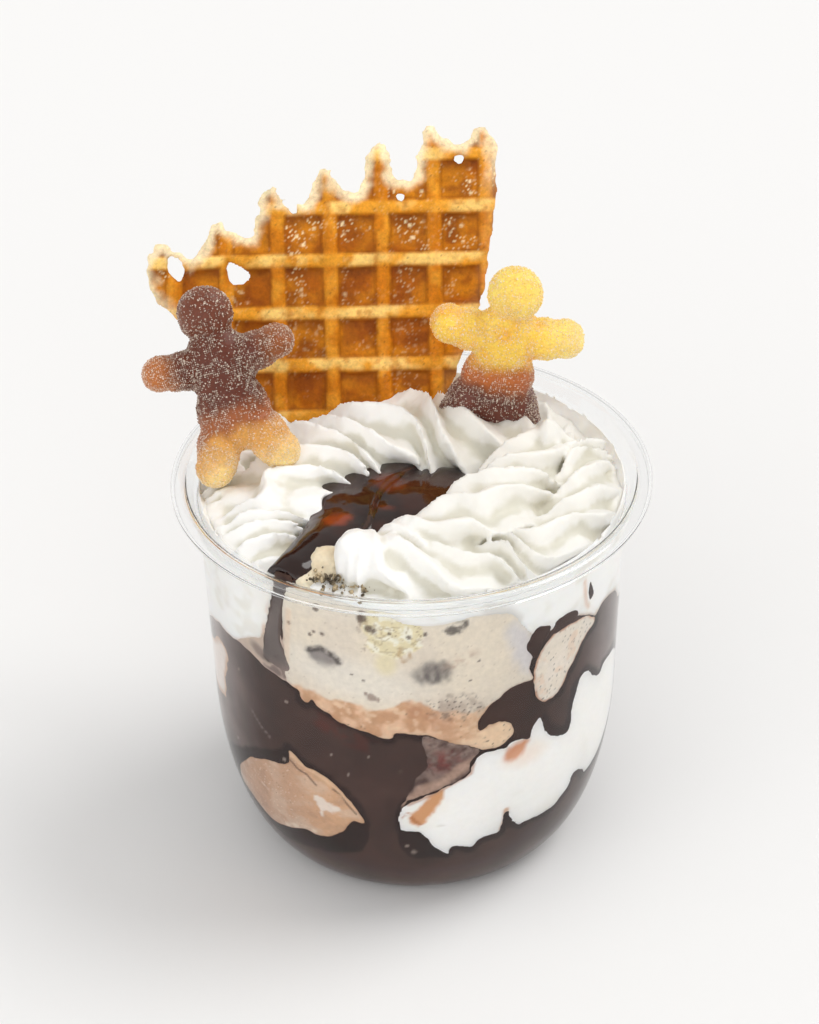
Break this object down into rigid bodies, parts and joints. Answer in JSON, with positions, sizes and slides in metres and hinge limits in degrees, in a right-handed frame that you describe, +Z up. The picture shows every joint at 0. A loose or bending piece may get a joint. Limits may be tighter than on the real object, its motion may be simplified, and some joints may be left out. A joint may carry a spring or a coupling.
{
  "type": "ice cream sundae",
  "caption": "Ice cream sundae in a clear round cup: fudge sauce, ice cream and cream behind the wall, piped cream on top, a broken waffle piece and sugared gummy figures.",
  "frame": {"origin": "centre of the cup's flat base, at the level it stands on", "axes": "+Z up along the cup's axis, -Y towards the side that the picture shows, +X to its right"},
  "size_m": [0.1009, 0.1025, 0.1311],
  "materials": {
    "clear_plastic": "clear thin-walled plastic, glossy",
    "fudge": "dark chocolate fudge sauce, glossy on top",
    "cookie_ice_cream": "beige ice cream with dark cookie pieces and a tan melted band",
    "speckled_ice_cream": "pale ice cream with fine dark specks",
    "mocha_ice_cream": "light brown ice cream",
    "cream": "white whipped cream, soft sheen",
    "waffle": "crisp golden brown waffle, paler on the ribs and broken tips",
    "gummy": "two-coloured gummy coated with sugar"
  },
  "bodies": {
    "root": {"cup": "clear_plastic", "fudge_sauce": "fudge", "fudge_top": "fudge", "ice_cream_scoop": "cookie_ice_cream", "ice_cream_side": "speckled_ice_cream", "mocha_ice_cream": "mocha_ice_cream", "cream_lower": "cream", "whipped_cream": "cream", "waffle": "waffle", "gummy_left": "gummy", "gummy_right": "gummy"}
  },
  "joints": []
}
